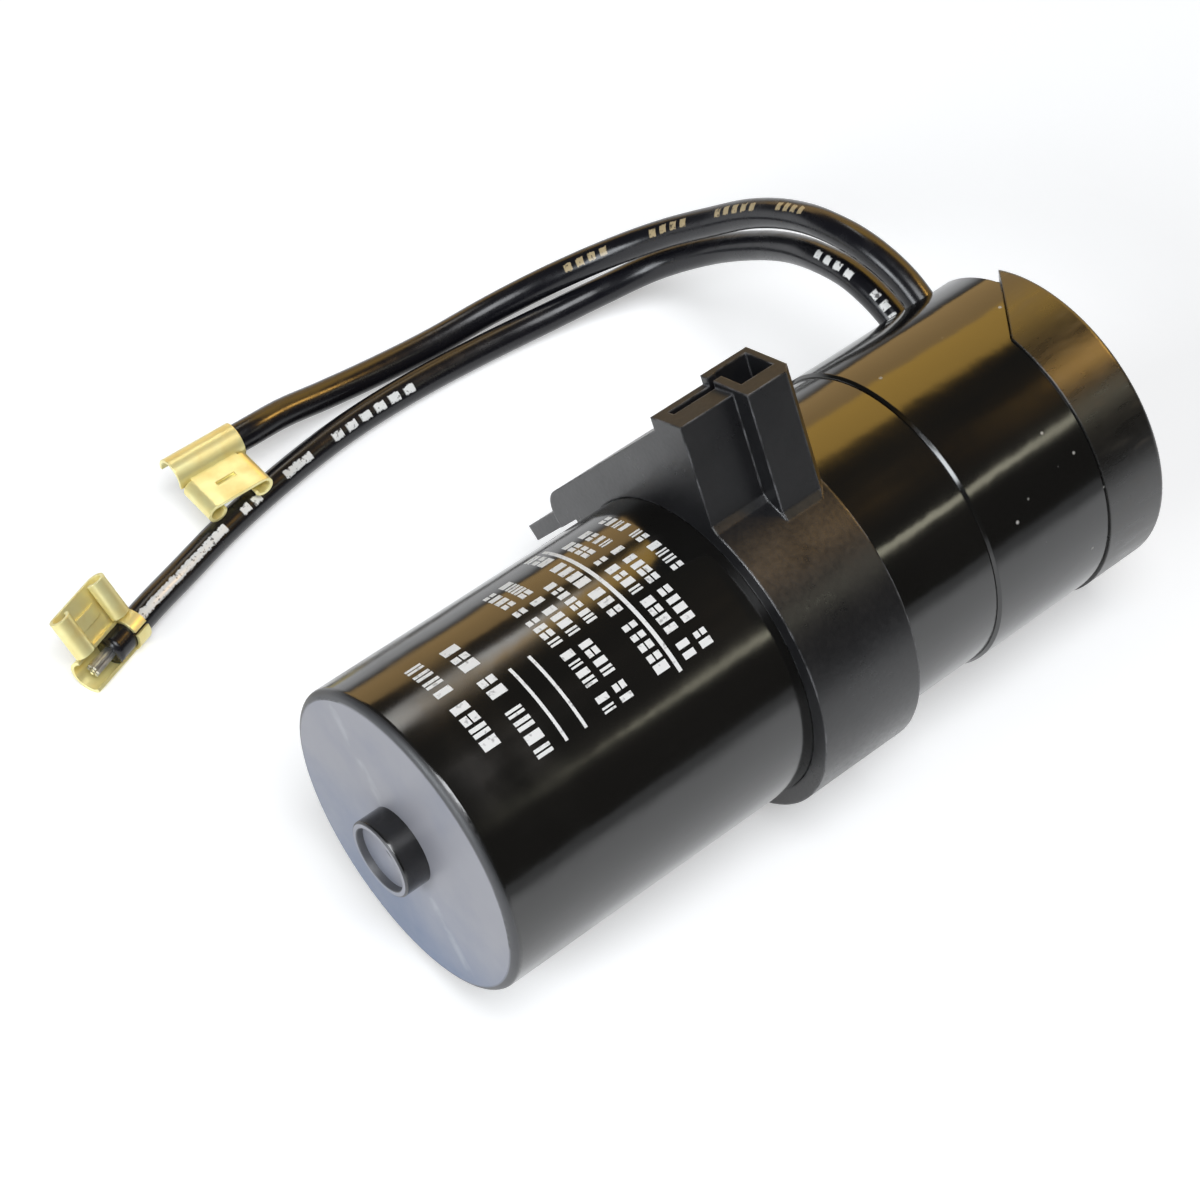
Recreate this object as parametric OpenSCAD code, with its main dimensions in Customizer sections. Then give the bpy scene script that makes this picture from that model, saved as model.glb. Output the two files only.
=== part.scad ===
// Motor start capacitor with a moulded mounting clip and two flying leads.
// Millimetres, +Z up. The can lies along X. The origin is on the surface that the
// part rests on, below the middle of the body.

/* [Case] */
// Outside diameter of the moulded case
case_d = 35; // [32:0.5:42]
// Length of the case from its closed end to its mouth
case_len = 72; // [66:1:100]
// Wall of the case
case_wall = 2.2; // [1.8:0.1:3]
// Thickness of the closed end
case_floor = 2; // [1.2:0.1:3]
// Rounding of the closed end's rim
case_edge_r = 1; // [0.4:0.1:1.6]
// Diameter of the stud in the middle of the closed end
stud_d = 8.8; // [6:0.2:12]
// Height of the stud
stud_h = 2.2; // [1:0.1:4]
// Depth of the dish in the stud's top
stud_dish = 0.4; // [0.2:0.05:0.8]
// Width of the flat rim round that dish
stud_rim = 0.8; // [0.4:0.1:1.4]
// Length of the reduced neck at the mouth
neck_len = 7; // [5:0.5:10]
// Step from the case's outside down to the neck, on the radius
neck_step = 0.9; // [0.6:0.05:1.1]
// Step from the case's bore out to the mouth's ledge, on the radius
mouth_step = 0.5; // [0.3:0.05:0.6]

/* [Wound element] */
// Room between the wound element and the deck, for the foil tabs and the rivets' heads
head_room = 7; // [4:0.5:12]
// Room round the wound element, on the radius
element_room = 0.3; // [0.1:0.05:1]
// Diameter of the hole that the winding mandrel leaves
mandrel_d = 5; // [3:0.5:8]
// Width of the foil tabs
foil_w = 5; // [3:0.5:6]
// Thickness of the foil tabs
foil_t = 0.3; // [0.2:0.05:0.5]

/* [Terminal deck] */
// Thickness of the deck gasket
gasket_t = 1; // [0.6:0.1:1.6]
// Thickness of the terminal deck
deck_t = 3; // [2:0.1:4]
// Room round the deck and its gasket, on the radius
deck_room = 0.1; // [0.05:0.05:0.2]
// Diameter of the pressure vent plug
vent_d = 5; // [4:0.5:7]
// Width of the vent plug's lip, on the radius
vent_lip = 0.8; // [0.5:0.1:1.2]
// Diameter of the rivets' shanks
rivet_d = 3; // [2:0.2:3.6]
// Diameter of the rivets' heads
rivet_head_d = 5.4; // [4.4:0.2:6]
// Thickness of the rivets' heads
rivet_head_t = 1; // [0.6:0.1:1.4]
// Room round the rivets' shanks, on the radius
rivet_room = 0.05; // [0.02:0.01:0.1]

/* [Tabs and receptacles] */
// Width of the tab terminals
tab_w = 6.3; // [4.8:0.1:6.4]
// Thickness of the tab terminals
tab_t = 0.8; // [0.5:0.1:1]
// Distance between the middles of the two tabs
tab_gap = 7; // [6:0.1:9]
// Distance of the tabs behind the can's axis, away from the lead outlet
tab_back = 5; // [3:0.5:6]
// Distance from a tab to its rivet
rivet_out = 4.6; // [4:0.1:5.4]
// Sheet thickness of the receptacles
sheet_t = 0.4; // [0.3:0.05:0.5]
// Room between a tab and its receptacle
tab_fit = 0.02; // [0.01:0.01:0.05]
// Distance from a receptacle's mouth to the axis of its barrel
mouth_reach = 7.5; // [7.2:0.1:9]
// Length of a receptacle's barrel
barrel_len = 9; // [7:0.1:10]
// Length of the ring in the barrel that grips the insulation
grip_len = 2; // [1.4:0.1:4]
// Height of a receptacle's plate above the barrel's axis
plate_lift = 0.6; // [0.5:0.05:1]
// Room between a receptacle's mouth and the foot of its tab
mouth_room = 0.4; // [0.2:0.05:0.6]
// Room between a tab's tip and the receptacle's barrel
tip_room = 0.4; // [0.2:0.05:0.8]

/* [Terminal cover] */
// Length of the sleeve, from the case's shoulder to its end
sleeve_len = 22.3; // [21.5:0.1:30]
// Step from the case's outside out to the sleeve's outside, on the radius
sleeve_step = 0.4; // [0.2:0.05:0.8]
// Chamfer round the sleeve's lip on the case
sleeve_lip = 0.3; // [0.1:0.05:0.5]
// Wall of the sleeve round the terminal room
sleeve_wall = 2.5; // [2.2:0.1:3]
// Thickness of the shoulder that holds the deck down
shoulder_t = 1.5; // [1:0.1:2]
// Reach of the shoulder inside the deck's rim
shoulder_hold = 0.7; // [0.5:0.05:1]
// Room between the pieces that are pushed over each other, on the radius
push_room = 0.1; // [0.05:0.05:0.2]
// Direction of the lead outlet, from +Y up towards +Z
outlet_ang = 25; // [15:1:35]
// Width of the lead window
window_w = 9; // [8.8:0.1:10]
// Length of the lead window from the sleeve's end
window_len = 6.6; // [6.4:0.1:8]
// Rounding of the lead window's inner corners
window_r = 1.4; // [0.5:0.1:2]
// Thickness of the lid's end
lid_t = 2.2; // [1.6:0.1:3]
// Length of the lid's skirt
skirt_len = 6; // [4:0.1:7]
// Thickness of the lid's skirt
skirt_t = 1.2; // [1:0.1:1.4]
// Height of the lid's outside above the sleeve's outside, on the radius
lid_step = 0.25; // [0.1:0.05:0.5]
// Angle of the gap round the lead window, at the skirt's edge
notch_wide = 146; // [110:1:150]
// Angle of that gap at the lid's end
notch_narrow = 80; // [60:1:100]
// Turn of that gap from the lead outlet
notch_turn = -5; // [-10:1:10]
// Setback of the lid's edge inside the gap, from the sleeve's outside
notch_set = 1.6; // [1:0.1:2]
// Room at each side of the gap
notch_room = 0.15; // [0.05:0.05:0.3]
// Rounding of the lid's rim
lid_edge_r = 0.6; // [0.3:0.1:0.9]

/* [Clip] */
// Distance of the clip's front side from the case's closed end
clip_at = 39; // [20:1:44]
// Width of the clip
clip_w = 13; // [11:0.5:18]
// Thickness of the clip's band
band_t = 1.9; // [1.4:0.1:3]
// Room between the band and the case, on the radius
band_room = 0.05; // [0.02:0.01:0.1]
// Direction that the mounting plate faces, from +Y up towards +Z
plate_ang = 34.8; // [30:0.1:40]
// Thickness of the mounting plate
plate_t = 2; // [1.5:0.1:3]
// Length of the plate from its middle down to its lower end
plate_down = 13.6; // [13:0.1:14]
// Rounding of the plate's lower end
plate_end_r = 3.2; // [1:0.1:3.4]
// Length of the tongue beyond the plate's lower end
tongue_len = 10.5; // [6:0.1:12]
// Thickness of the tongue
tongue_t = 1.9; // [1.4:0.1:2.2]
// Setback of the tongue from the plate's face
tongue_set = 1.9; // [1.5:0.1:2.2]
// Setback of the tongue from each side of the clip
tongue_side = 1.5; // [0.5:0.1:3]
// Thickness of the webs between the plate and the band
web_t = 2; // [1.4:0.1:3]
// Distance of the webs' inner edges from the can's axis
fill_d = 14; // [13.4:0.1:14.4]
// Distance of the hollow behind the plate from the plate's middle
hollow_at = 5; // [4:0.1:7]
// Direction of the latch tower, from +Y up towards +Z
tower_ang = 64; // [60:1:68]
// Height of the tower's top above the can's axis
tower_top = 28.8; // [28:0.1:32]
// Setback of the narrow half's front, across from the axis
tower_front = 9.8; // [9.6:0.1:10.4]
// Setback of the tower's back, across from the axis
tower_back = 4.9; // [4.6:0.1:5.4]
// Setback of the proud half's front, across from the axis
proud_front = 12.2; // [11.5:0.1:13]
// Height of the proud half's front edge above the narrow half
proud_up = 0.4; // [0.2:0.1:0.8]
// Rise of the proud half's top from its front edge to its back
proud_rise = 0.6; // [0.2:0.1:1]
// Width of the proud half along the can
proud_w = 6.1; // [5.4:0.1:6.8]
// Chamfer of the proud half's far front corner
proud_edge = 1; // [0.4:0.1:1.4]
// Fillet at the tower's foot on the band
foot_r = 0.6; // [0.3:0.1:1]
// Width of the latch slot
slot_w = 1; // [0.6:0.1:1.4]
// Wall behind the latch slot
slot_back = 1; // [0.8:0.1:1.6]
// Distance of the slot from the clip's front side
slot_at = 1.5; // [1:0.1:3]
// Depth of the slot and the pocket
slot_deep = 7; // [3:0.1:8]
// Wall behind the latch pocket in the proud half
pocket_back = 0.8; // [0.6:0.1:1.2]
// Wall in front of the pocket
pocket_front = 2.2; // [1.4:0.1:3]
// Wall between the pocket and the proud half's near side
pocket_near = 1.1; // [0.8:0.1:1.6]
// Wall between the pocket and the clip's far side
pocket_far = 0.8; // [0.6:0.1:1.4]

/* [Leads] */
// Diameter of the leads over their insulation
lead_d = 3.5; // [3:0.1:3.6]
// Room between a lead and the barrel that grips it, on the radius
lead_fit = 0.05; // [0.02:0.01:0.1]
// Length of insulation that shows beyond the grip
lead_past = 2.8; // [1:0.1:4]

/* [Hidden] */
$fn = 96;
// a cut runs this far past the face that it opens
over = 1;

// radii of the can
case_r = case_d / 2;
bore_r = case_r - case_wall;
mouth_r = bore_r + mouth_step;
neck_r = case_r - neck_step;
deck_r = mouth_r - deck_room;
sleeve_r = case_r + sleeve_step;
room_r = sleeve_r - sleeve_wall;
hold_r = deck_r - shoulder_hold;
lid_r = sleeve_r + lid_step;
skirt_r = lid_r - skirt_t;
seat_r = skirt_r - push_room;
notch_r = sleeve_r - notch_set;

// the gap in the lid: its sides lean between the two angles
notch_mid = (notch_wide + notch_narrow) / 4;
notch_swing = (notch_wide - notch_narrow) / 4;

// the dish is an arc through its rim and its depth
dish_half = stud_d / 2 - stud_rim;
dish_r = (dish_half * dish_half + stud_dish * stud_dish) / (2 * stud_dish);

// places along the can, from the closed end's face
ledge_s = case_len - deck_t - gasket_t;
deck_s = case_len - deck_t;
shoulder_s = case_len - neck_len;
sleeve_end_s = shoulder_s + sleeve_len;
skirt_s = sleeve_end_s - skirt_len;
end_s = sleeve_end_s + lid_t;
element_s = deck_s - head_room;
element_len = element_s - case_floor;
notch_lean = atan(2 * lid_r * sin(notch_swing) / (end_s - skirt_s));

// terminals, in the outlet's directions: o outwards, a across, s along the can
tab_o = -tab_back;
vent_o = hold_r / 2;
tab_a = tab_gap / 2;
rivet_a_dist = tab_a + rivet_out;
mouth_s = case_len + tab_t + mouth_room;
barrel_s = mouth_s + mouth_reach;
curl_r = sheet_t + tab_t + 2 * tab_fit;
curl_x = tab_w / 2 + tab_fit;
rail_gap = 0.25;
trough_low = 0.3;
seam_w = 0.4;
catch_w = 2.6;
catch_t = 0.6;
tab_z = plate_lift - sheet_t - tab_fit - tab_t / 2;
barrel_r = lead_d / 2 + lead_fit;
rail_back = barrel_r + sheet_t + rail_gap;
tab_h = barrel_s - barrel_r - sheet_t - tip_room - case_len;

// clip, in its cross-section
band_ri = case_r + band_room;
band_ro = band_ri + band_t;
plate_d = band_ro + plate_t;
tongue_d = plate_d - tongue_set - tongue_t;
proud_at = clip_w - proud_w;
// the plate's upper end lies in the tower: its face meets the tower's back
tower_lean = tower_ang - plate_ang;
plate_up = (plate_d * sin(tower_lean) + tower_back) / cos(tower_lean) + plate_t / 2;
// height of the band's outside above a point that is set back across the tower, less a little
foot_sink = 0.1;
function band_h(back) = sqrt(band_ro * band_ro - back * back) - foot_sink;

// frame: the body's box is centred on the origin and stands on the plane z = 0
tongue_tip = plate_down + tongue_len;
reach_y = (plate_d - tongue_set) * cos(plate_ang) + tongue_tip * sin(plate_ang);
front_x = stud_h - (stud_h + end_s) / 2;
axis_y = (band_ro - reach_y) / 2;
axis_z = band_ro;

// the outlet's directions in the part's frame
out_dir = [0, cos(outlet_ang), sin(outlet_ang)];
across_dir = [0, -sin(outlet_ang), cos(outlet_ang)];

// a point given along the outlet, across it and along the can
function can_point(o, a, s) = [front_x + s, axis_y, axis_z] + o * out_dir + a * across_dir;

// where a lead starts in the barrel of its inner receptacle, and runs straight out of it
inner_axis_a = tab_z;
inner_end = tab_o + barrel_len / 2 - grip_len - lead_past;
inner_exit = tab_o + barrel_len / 2;
straight = 2;
function lead_start(side) = [for (o = [inner_end, inner_exit, inner_exit + straight])
    can_point(o, side * tab_a + inner_axis_a, barrel_s)];

// a point on the table's side, given from the can's axis in Y and from the table in Z
function by_can(p) = [p[0], axis_y + p[1], p[2]];

// where the outer receptacles lie: middle of the barrel, heading of the lead and roll about it
place_a = by_can([-22.4, 65.4, 5.6]);
heading_a = -1;
roll_a = 0;
place_b = by_can([-45.3, 51.4, 2.3]);
heading_b = 19;
roll_b = 235;
outer_end = barrel_len / 2 - grip_len - lead_past;
outer_exit = barrel_len / 2;
function lead_finish(place, heading) = [for (x = [outer_exit + straight, outer_exit, outer_end])
    place + x * [cos(heading), sin(heading), 0]];

// routes of the two leads between their receptacles
way_a = [[38.5, 5.4, 25], [40, 11.4, 27.5], [40.5, 17.4, 30], [40.2, 23.4, 31], [40, 29.4, 30],
    [40.4, 35.4, 27], [40.2, 41.4, 23], [39, 47.4, 18], [36.5, 53.4, 13], [32, 58.4, 8.7],
    [26, 62.2, 5.3], [19.5, 64.4, 3.2], [11, 65.4, 2.2], [3, 65.9, 2.4], [-5, 66, 3.5], [-11, 65.8, 4.8]];
way_b = [[38.2, 7.4, 20], [39, 12.9, 23], [39.5, 18.4, 25.3], [39.7, 24.4, 26], [40.2, 30.4, 24.2],
    [41, 36.4, 20.8], [41.2, 42.4, 16.5], [40, 48.9, 11.5], [36.5, 54.4, 7], [31, 57.6, 4],
    [24, 59.6, 2.4], [15, 61, 1.8], [5, 61.6, 1.8], [-5, 61.4, 1.8], [-15, 60.1, 1.8], [-25, 58, 1.8],
    [-33, 55.6, 1.9]];
route_a = concat(lead_start(1), [for (p = way_a) by_can(p)], lead_finish(place_a, heading_a));
route_b = concat(lead_start(-1), [for (p = way_b) by_can(p)], lead_finish(place_b, heading_b));

// sides of the leads' cross-section
lead_sides = 8;

// colours
black_gloss = "#1d1a17";
black_matt = "#2b2a29";
clip_grey = "#34353a";
brass = "#d8b64a";
steel = "#b9bbbd";
foil = "#c9ccce";
paper = "#8a7a5c";
rubber = "#26231f";
deck_brown = "#4a3526";

// Frame of the can: X out of the lead outlet, Y across it, Z along the can from its closed end
module on_can() {
    translate([front_x, axis_y, axis_z]) rotate([0, 90, 0]) rotate([0, 0, 90 + outlet_ang]) children();
}

// Frame of the clip: a cross-section is drawn in Y and Z, and Z runs along the can from the clip's front
module on_clip() {
    translate([front_x + clip_at, axis_y, axis_z]) rotate([90, 0, 90]) children();
}

// Turned profile about the can's axis
module turned() {
    on_can() rotate_extrude() children();
}

// Gap round the lead window, less some room at each side: two leaning planes meet across the outlet
module notch(room) {
    far = 2 * lid_r;
    translate([0, 0, (skirt_s + end_s) / 2]) rotate([0, 0, notch_turn]) intersection() {
        rotate([0, 0, notch_mid]) rotate([notch_lean, 0, 0])
            translate([-far, -2 * far - room, -far]) cube(2 * far);
        rotate([0, 0, -notch_mid]) rotate([-notch_lean, 0, 0])
            translate([-far, room, -far]) cube(2 * far);
    }
}

module case_profile() {
    difference() {
        union() {
            translate([0, case_edge_r]) square([case_r, shoulder_s - case_edge_r]);
            square([case_r - case_edge_r, shoulder_s]);
            translate([case_r - case_edge_r, case_edge_r]) circle(case_edge_r);
            square([neck_r, case_len]);
            translate([0, -stud_h]) square([stud_d / 2, stud_h + over]);
        }
        translate([0, case_floor]) square([bore_r, case_len]);
        translate([0, ledge_s]) square([mouth_r, case_len]);
        // dish in the stud's top
        translate([0, -stud_h + stud_dish - dish_r]) circle(dish_r);
        translate([-case_d, -case_len]) square([case_d, 3 * case_len]);
    }
}

module case() {
    color(black_gloss) turned() case_profile();
}

module wound_element() {
    color(paper) turned() translate([mandrel_d / 2, case_floor])
        square([bore_r - element_room - mandrel_d / 2, element_len]);
}

// Strip from the element's end up to the deck, and a foot under the rivet
module foil_tab(side) {
    hole_r = rivet_d / 2 + rivet_room;
    foot = rivet_out + foil_w / 2;
    color(foil) on_can() difference() {
        union() {
            translate([tab_o - foil_w / 2, side * tab_a - foil_t / 2, element_s])
                cube([foil_w, foil_t, deck_s - element_s]);
            translate([tab_o - foil_w / 2, min(side * tab_a, side * (tab_a + foot)), deck_s - foil_t])
                cube([foil_w, foot, foil_t]);
        }
        translate([tab_o, side * rivet_a_dist, deck_s - over]) cylinder(r = hole_r, h = 2 * over);
    }
}

module foil_tab_a() { foil_tab(1); }
module foil_tab_b() { foil_tab(-1); }

module deck_gasket() {
    color(rubber) turned() translate([hold_r - shoulder_hold, ledge_s])
        square([deck_r - hold_r + shoulder_hold, gasket_t]);
}

module terminal_deck() {
    color(deck_brown) on_can() difference() {
        translate([0, 0, deck_s]) cylinder(r = deck_r, h = deck_t);
        for (side = [1, -1]) translate([tab_o, side * rivet_a_dist, deck_s - over])
            cylinder(r = rivet_d / 2 + rivet_room, h = deck_t + 2 * over);
        translate([vent_o, 0, deck_s - over]) cylinder(r = vent_d / 2 + rivet_room, h = deck_t + 2 * over);
    }
}

module vent_plug() {
    color(rubber) on_can() translate([vent_o, 0, deck_s]) rotate_extrude() {
        square([vent_d / 2, deck_t + vent_lip]);
        translate([0, deck_t]) square([vent_d / 2 + vent_lip, vent_lip]);
    }
}

// Tab with a tapered tip, standing on a foot that the rivet holds
module terminal(side) {
    foot_end = rivet_a_dist + rivet_head_d / 2;
    tip = tab_t;
    color(steel) on_can() difference() {
        union() {
            translate([tab_o, side * tab_a + tab_t / 2, case_len]) rotate([90, 0, 0]) linear_extrude(tab_t)
                polygon([[-tab_w / 2, 0], [tab_w / 2, 0], [tab_w / 2, tab_h - tip], [tab_w / 2 - tip, tab_h],
                    [tip - tab_w / 2, tab_h], [-tab_w / 2, tab_h - tip]]);
            translate([tab_o - tab_w / 2, min(side * tab_a, side * foot_end), case_len])
                cube([tab_w, foot_end - tab_a, tab_t]);
        }
        translate([tab_o, side * rivet_a_dist, case_len - over])
            cylinder(r = rivet_d / 2 + rivet_room, h = tab_t + 2 * over);
    }
}

module terminal_a() { terminal(1); }
module terminal_b() { terminal(-1); }

// Rivet through the foil, the deck and the terminal's foot
module rivet(side) {
    low = deck_s - foil_t;
    high = case_len + tab_t;
    color(steel) on_can() translate([tab_o, side * rivet_a_dist, 0]) rotate_extrude() {
        translate([0, low - rivet_head_t]) square([rivet_head_d / 2, rivet_head_t]);
        translate([0, low - rivet_head_t]) square([rivet_d / 2, high - low + 2 * rivet_head_t]);
        translate([0, high]) square([rivet_head_d / 2, rivet_head_t]);
    }
}

module rivet_a() { rivet(1); }
module rivet_b() { rivet(-1); }

// One rolled edge of a receptacle: three quarters of a ring, open towards the plate
module curl() {
    difference() {
        circle(curl_r);
        circle(curl_r - sheet_t);
        translate([-2 * curl_r, 0]) square([2 * curl_r, 2 * curl_r]);
    }
}

// Flag receptacle: barrel along X with the lead coming from +X, mouth to -Y, plate on top, rails below
module flag_receptacle() {
    rail_len = mouth_reach - rail_back;
    color(brass) {
        translate([0, -rail_back, plate_lift - curl_r]) rotate([90, 0, 0]) linear_extrude(rail_len) {
            for (side = [1, -1]) mirror([side < 0 ? 1 : 0, 0]) translate([curl_x, 0]) curl();
        }
        difference() {
            union() {
                translate([-curl_x, -mouth_reach, plate_lift - sheet_t])
                    cube([2 * curl_x, mouth_reach - barrel_r - sheet_t / 2, sheet_t]);
                rotate([0, 90, 0]) difference() {
                    cylinder(r = barrel_r + sheet_t, h = barrel_len, center = true);
                    cylinder(r = barrel_r, h = barrel_len + 2 * over, center = true);
                }
            }
            // beyond the grip the barrel is an open trough
            translate([-barrel_len / 2 - over, -mouth_reach / 2, -mouth_reach])
                cube([barrel_len - grip_len + over, mouth_reach, mouth_reach - trough_low]);
            // seam of the grip
            translate([0, -seam_w / 2, -mouth_reach]) cube([barrel_len, seam_w, mouth_reach]);
            // catch slot in the plate
            translate([-catch_w / 2, -(mouth_reach + rail_back) / 2, 0]) cube([catch_w, catch_t, mouth_reach]);
        }
    }
}

module inner_receptacle(side) {
    on_can() translate([tab_o, side * tab_a + inner_axis_a, barrel_s]) rotate([90, 0, 0]) flag_receptacle();
}

module inner_receptacle_a() { inner_receptacle(1); }
module inner_receptacle_b() { inner_receptacle(-1); }

// Window shape: width across, open at the top, round corners at the bottom
module window_shape() {
    translate([-window_w / 2, window_r]) square([window_w, window_len + over]);
    translate([-window_w / 2 + window_r, 0]) square([window_w - 2 * window_r, window_len]);
    for (side = [1, -1]) translate([side * (window_w / 2 - window_r), window_r]) circle(window_r);
}

module sleeve_profile() {
    difference() {
        translate([hold_r, shoulder_s]) square([sleeve_r - hold_r, sleeve_len]);
        translate([0, shoulder_s - over]) square([neck_r + push_room, neck_len + over]);
        translate([0, case_len + shoulder_t]) square([room_r, sleeve_len]);
        translate([sleeve_r, shoulder_s]) rotate(45) square(sqrt(2) * sleeve_lip, center = true);
    }
}

module terminal_sleeve() {
    color(black_gloss) difference() {
        turned() sleeve_profile();
        // seat of the lid's skirt, all round but for the notch
        on_can() difference() {
            translate([0, 0, skirt_s]) cylinder(r = sleeve_r + over, h = skirt_len + over);
            translate([0, 0, skirt_s - over]) cylinder(r = seat_r, h = skirt_len + 3 * over);
            notch(notch_room);
        }
        on_can() translate([0, 0, sleeve_end_s - window_len]) rotate([0, 90, 0]) rotate([0, 0, 90])
            linear_extrude(sleeve_r + over) window_shape();
    }
}

module lid_profile() {
    difference() {
        union() {
            translate([0, skirt_s]) square([lid_r, end_s - skirt_s - lid_edge_r]);
            translate([0, skirt_s]) square([lid_r - lid_edge_r, end_s - skirt_s]);
            translate([lid_r - lid_edge_r, end_s - lid_edge_r]) circle(lid_edge_r);
        }
        translate([0, skirt_s - over]) square([skirt_r, skirt_len + over]);
    }
}

module end_lid() {
    color(black_matt) difference() {
        turned() lid_profile();
        on_can() difference() {
            notch(0);
            translate([0, 0, skirt_s - 2 * over]) cylinder(r = notch_r, h = end_s - skirt_s + 4 * over);
        }
    }
}

// Mounting plate and the filler behind it: X down along the plate, Y out of its face
module plate_shape() {
    rotate(plate_ang - 90) difference() {
        union() {
            translate([-plate_up, fill_d]) square([plate_up + hollow_at + over, plate_d - fill_d]);
            translate([0, tongue_d]) square([plate_down, plate_d - tongue_d]);
        }
        translate([plate_down - plate_end_r, plate_d - plate_end_r]) difference() {
            square(plate_end_r + over);
            circle(plate_end_r);
        }
    }
}

// Plate with a hollow behind its lower half, open at the clip's far side, and the tongue below it
module plate_block() {
    difference() {
        linear_extrude(clip_w) plate_shape();
        translate([0, 0, web_t]) linear_extrude(clip_w) rotate(plate_ang - 90)
            translate([hollow_at, 0]) square([plate_down - plate_t - hollow_at, band_ro]);
    }
    // set back from the front, a second web reaches down to the band
    translate([0, 0, tongue_side]) linear_extrude(web_t) rotate(plate_ang - 90)
        translate([0, fill_d]) square([plate_down - plate_t / 2, band_ro + plate_t / 2 - fill_d]);
    translate([0, 0, tongue_side]) linear_extrude(clip_w - 2 * tongue_side) rotate(plate_ang - 90)
        translate([plate_down - plate_t, tongue_d]) square([plate_t + tongue_len, tongue_t]);
}

// Side of one half of the latch tower, with a fillet at its foot: X across, Y up the tower
module tower_shape(front, front_top, back_top) {
    toe = front + foot_r;
    rotate(tower_ang - 90)
        polygon([[-toe, 0], [-toe, band_h(toe)], [-front, band_h(front) + foot_r], [-front, front_top],
            [-tower_back, back_top], [-tower_back, 0]]);
}

// Frame of the tower: X across, Y up, Z along the can
module on_tower() {
    on_clip() rotate([0, 0, tower_ang - 90]) children();
}

// Proud half of the latch tower; its far front corner is chamfered
module proud_half() {
    top = tower_top + proud_up;
    toe = proud_front + foot_r;
    difference() {
        on_clip() translate([0, 0, proud_at]) linear_extrude(proud_w)
            tower_shape(proud_front, top, top + proud_rise);
        on_tower() translate([0, top + over, 0]) rotate([90, 0, 0]) linear_extrude(top + over)
            polygon([[-proud_front + proud_edge + over, clip_w + over], [-toe - over, clip_w + over],
                [-toe - over, clip_w - proud_edge - foot_r - over]]);
    }
}

// Latch opening seen from above: a narrow slot along the clip that widens in the proud half
module latch_shape() {
    slot_x = -tower_back - slot_back;
    pocket_x = -tower_back - pocket_back;
    pocket_end = clip_w - pocket_far;
    pocket_at = proud_at + pocket_near;
    pocket_far_x = -proud_front + pocket_front;
    polygon([[slot_x - slot_w, slot_at], [slot_x, slot_at], [slot_x, pocket_at], [pocket_x, pocket_at],
        [pocket_x, pocket_end], [pocket_far_x, pocket_end], [pocket_far_x, pocket_at],
        [slot_x - slot_w, pocket_at]]);
}

module clip() {
    latch_top = tower_top + proud_up + proud_rise + over;
    color(clip_grey) difference() {
        union() {
            on_clip() cylinder(r = band_ro, h = clip_w);
            on_clip() plate_block();
            on_clip() linear_extrude(clip_w) tower_shape(tower_front, tower_top, tower_top);
            proud_half();
        }
        on_clip() translate([0, 0, -over]) cylinder(r = band_ri, h = clip_w + 2 * over);
        // latch slot, opening into a wider pocket in the proud half
        on_tower() translate([0, latch_top, 0]) rotate([90, 0, 0])
            linear_extrude(latch_top - tower_top + slot_deep) latch_shape();
    }
}

// Tube swept along a route: rings of points square to the route
function unit(v) = v / norm(v);
function heading_at(route, i) = unit(route[min(i + 1, len(route) - 1)] - route[max(i - 1, 0)]);
function ring_at(route, i) =
    let (along = heading_at(route, i), side = unit(cross(along, [0, 0, 1])), up = cross(side, along))
    [for (k = [0 : lead_sides - 1])
        route[i] + lead_d / 2 * (cos(360 * k / lead_sides) * side + sin(360 * k / lead_sides) * up)];

module swept_lead(route) {
    last = len(route) - 1;
    n = lead_sides;
    points = [for (i = [0 : last]) each ring_at(route, i)];
    start_cap = [for (k = [n - 1 : -1 : 0]) k];
    end_cap = [for (k = [0 : n - 1]) last * n + k];
    walls = [for (i = [0 : last - 1], k = [0 : n - 1])
        let (here = i * n + k, beside = i * n + (k + 1) % n)
        each [[here, beside, beside + n], [here, beside + n, here + n]]];
    polyhedron(points, concat([start_cap, end_cap], walls));
}

module lead_a() { color(black_gloss) swept_lead(route_a); }
module lead_b() { color(black_gloss) swept_lead(route_b); }

module receptacle_a() {
    translate(place_a) rotate([roll_a, 0, heading_a]) flag_receptacle();
}

module receptacle_b() {
    translate(place_b) rotate([roll_b, 0, heading_b]) flag_receptacle();
}

case();
wound_element();
foil_tab_a();
foil_tab_b();
deck_gasket();
terminal_deck();
vent_plug();
terminal_a();
terminal_b();
rivet_a();
rivet_b();
inner_receptacle_a();
inner_receptacle_b();
terminal_sleeve();
end_lid();
clip();
lead_a();
lead_b();
receptacle_a();
receptacle_b();
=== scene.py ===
"""Motor start capacitor with a moulded mounting clip and two flying leads, dressed round its CAD
frame. Lengths are in metres, and MM turns the ones that are written in millimetres into metres."""

from math import radians

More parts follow.
